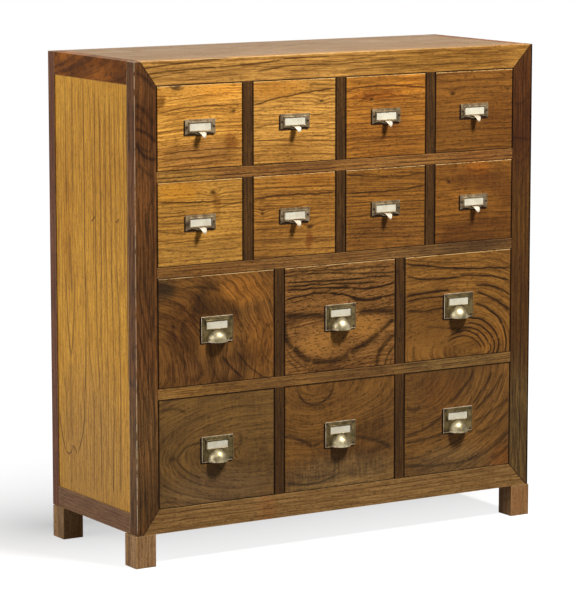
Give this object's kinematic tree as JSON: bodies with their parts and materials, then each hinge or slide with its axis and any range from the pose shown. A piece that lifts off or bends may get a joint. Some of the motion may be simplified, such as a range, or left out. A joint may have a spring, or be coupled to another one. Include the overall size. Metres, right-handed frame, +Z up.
{
  "type": "chest of drawers",
  "caption": "Upright wooden chest with rows of small drawers over rows of deep ones, framed panel sides, short square feet and metal label-holder pulls.",
  "frame": {"origin": "on the floor, under the middle of the whole outline, feet and pulls included", "axes": "+Z up, +X to the right as seen from the front, +Y towards the back; the drawer fronts face -Y"},
  "size_m": [0.906, 0.3602, 0.95],
  "materials": {
    "dark_wood": "dark brown stain, waxed",
    "amber_rail_wood": "amber brown stain, waxed, strong lengthwise grain",
    "red_rail_wood": "reddish brown stain, waxed",
    "side_frame_wood": "brown stain, waxed",
    "golden_panel_wood": "golden stain, waxed, upright grain",
    "top_wood": "tan, waxed, satin",
    "inner_wood": "bare pale wood",
    "foot_wood": "brown stain, waxed",
    "amber_front_wood": "honey amber stain, waxed, wavy grain with small knots",
    "brown_front_wood": "walnut brown stain, waxed, figured grain",
    "aged_metal": "antique pewter-brass, worn bright at the edges"
  },
  "bodies": {
    "carcass": {"front_stile_left": "dark_wood", "front_stile_right": "dark_wood", "front_top_rail": "amber_rail_wood", "front_bottom_rail": "amber_rail_wood", "row_rail_upper": "red_rail_wood", "row_rail_middle": "red_rail_wood", "row_rail_lower": "red_rail_wood", "small_dividers": "dark_wood", "large_dividers": "dark_wood", "side_frame_left": "side_frame_wood", "side_frame_right": "side_frame_wood", "side_panel_left": "golden_panel_wood", "side_panel_right": "golden_panel_wood", "top_board": "top_wood", "back_board": "inner_wood", "drawer_shelves": "inner_wood", "drawer_guides": "inner_wood", "feet": "foot_wood"},
    "small_drawer_1": {"small_drawer_1_front": "amber_front_wood", "small_drawer_1_box": "inner_wood", "small_drawer_1_pull": "aged_metal"},
    "small_drawer_2": {"small_drawer_2_front": "amber_front_wood", "small_drawer_2_box": "inner_wood", "small_drawer_2_pull": "aged_metal"},
    "small_drawer_3": {"small_drawer_3_front": "amber_front_wood", "small_drawer_3_box": "inner_wood", "small_drawer_3_pull": "aged_metal"},
    "small_drawer_4": {"small_drawer_4_front": "amber_front_wood", "small_drawer_4_box": "inner_wood", "small_drawer_4_pull": "aged_metal"},
    "small_drawer_5": {"small_drawer_5_front": "amber_front_wood", "small_drawer_5_box": "inner_wood", "small_drawer_5_pull": "aged_metal"},
    "small_drawer_6": {"small_drawer_6_front": "amber_front_wood", "small_drawer_6_box": "inner_wood", "small_drawer_6_pull": "aged_metal"},
    "small_drawer_7": {"small_drawer_7_front": "amber_front_wood", "small_drawer_7_box": "inner_wood", "small_drawer_7_pull": "aged_metal"},
    "small_drawer_8": {"small_drawer_8_front": "amber_front_wood", "small_drawer_8_box": "inner_wood", "small_drawer_8_pull": "aged_metal"},
    "large_drawer_1": {"large_drawer_1_front": "brown_front_wood", "large_drawer_1_box": "inner_wood", "large_drawer_1_pull": "aged_metal"},
    "large_drawer_2": {"large_drawer_2_front": "brown_front_wood", "large_drawer_2_box": "inner_wood", "large_drawer_2_pull": "aged_metal"},
    "large_drawer_3": {"large_drawer_3_front": "brown_front_wood", "large_drawer_3_box": "inner_wood", "large_drawer_3_pull": "aged_metal"},
    "large_drawer_4": {"large_drawer_4_front": "brown_front_wood", "large_drawer_4_box": "inner_wood", "large_drawer_4_pull": "aged_metal"},
    "large_drawer_5": {"large_drawer_5_front": "brown_front_wood", "large_drawer_5_box": "inner_wood", "large_drawer_5_pull": "aged_metal"},
    "large_drawer_6": {"large_drawer_6_front": "brown_front_wood", "large_drawer_6_box": "inner_wood", "large_drawer_6_pull": "aged_metal"}
  },
  "joints": [
    {"name": "small_drawer_1_slide", "type": "slide", "parent": "carcass", "child": "small_drawer_1", "axis": [0, -1, 0], "range_m": [0, 0.24]},
    {"name": "small_drawer_2_slide", "type": "slide", "parent": "carcass", "child": "small_drawer_2", "axis": [0, -1, 0], "range_m": [0, 0.24]},
    {"name": "small_drawer_3_slide", "type": "slide", "parent": "carcass", "child": "small_drawer_3", "axis": [0, -1, 0], "range_m": [0, 0.24]},
    {"name": "small_drawer_4_slide", "type": "slide", "parent": "carcass", "child": "small_drawer_4", "axis": [0, -1, 0], "range_m": [0, 0.24]},
    {"name": "small_drawer_5_slide", "type": "slide", "parent": "carcass", "child": "small_drawer_5", "axis": [0, -1, 0], "range_m": [0, 0.24]},
    {"name": "small_drawer_6_slide", "type": "slide", "parent": "carcass", "child": "small_drawer_6", "axis": [0, -1, 0], "range_m": [0, 0.24]},
    {"name": "small_drawer_7_slide", "type": "slide", "parent": "carcass", "child": "small_drawer_7", "axis": [0, -1, 0], "range_m": [0, 0.24]},
    {"name": "small_drawer_8_slide", "type": "slide", "parent": "carcass", "child": "small_drawer_8", "axis": [0, -1, 0], "range_m": [0, 0.24]},
    {"name": "large_drawer_1_slide", "type": "slide", "parent": "carcass", "child": "large_drawer_1", "axis": [0, -1, 0], "range_m": [0, 0.24]},
    {"name": "large_drawer_2_slide", "type": "slide", "parent": "carcass", "child": "large_drawer_2", "axis": [0, -1, 0], "range_m": [0, 0.24]},
    {"name": "large_drawer_3_slide", "type": "slide", "parent": "carcass", "child": "large_drawer_3", "axis": [0, -1, 0], "range_m": [0, 0.24]},
    {"name": "large_drawer_4_slide", "type": "slide", "parent": "carcass", "child": "large_drawer_4", "axis": [0, -1, 0], "range_m": [0, 0.24]},
    {"name": "large_drawer_5_slide", "type": "slide", "parent": "carcass", "child": "large_drawer_5", "axis": [0, -1, 0], "range_m": [0, 0.24]},
    {"name": "large_drawer_6_slide", "type": "slide", "parent": "carcass", "child": "large_drawer_6", "axis": [0, -1, 0], "range_m": [0, 0.24]}
  ]
}
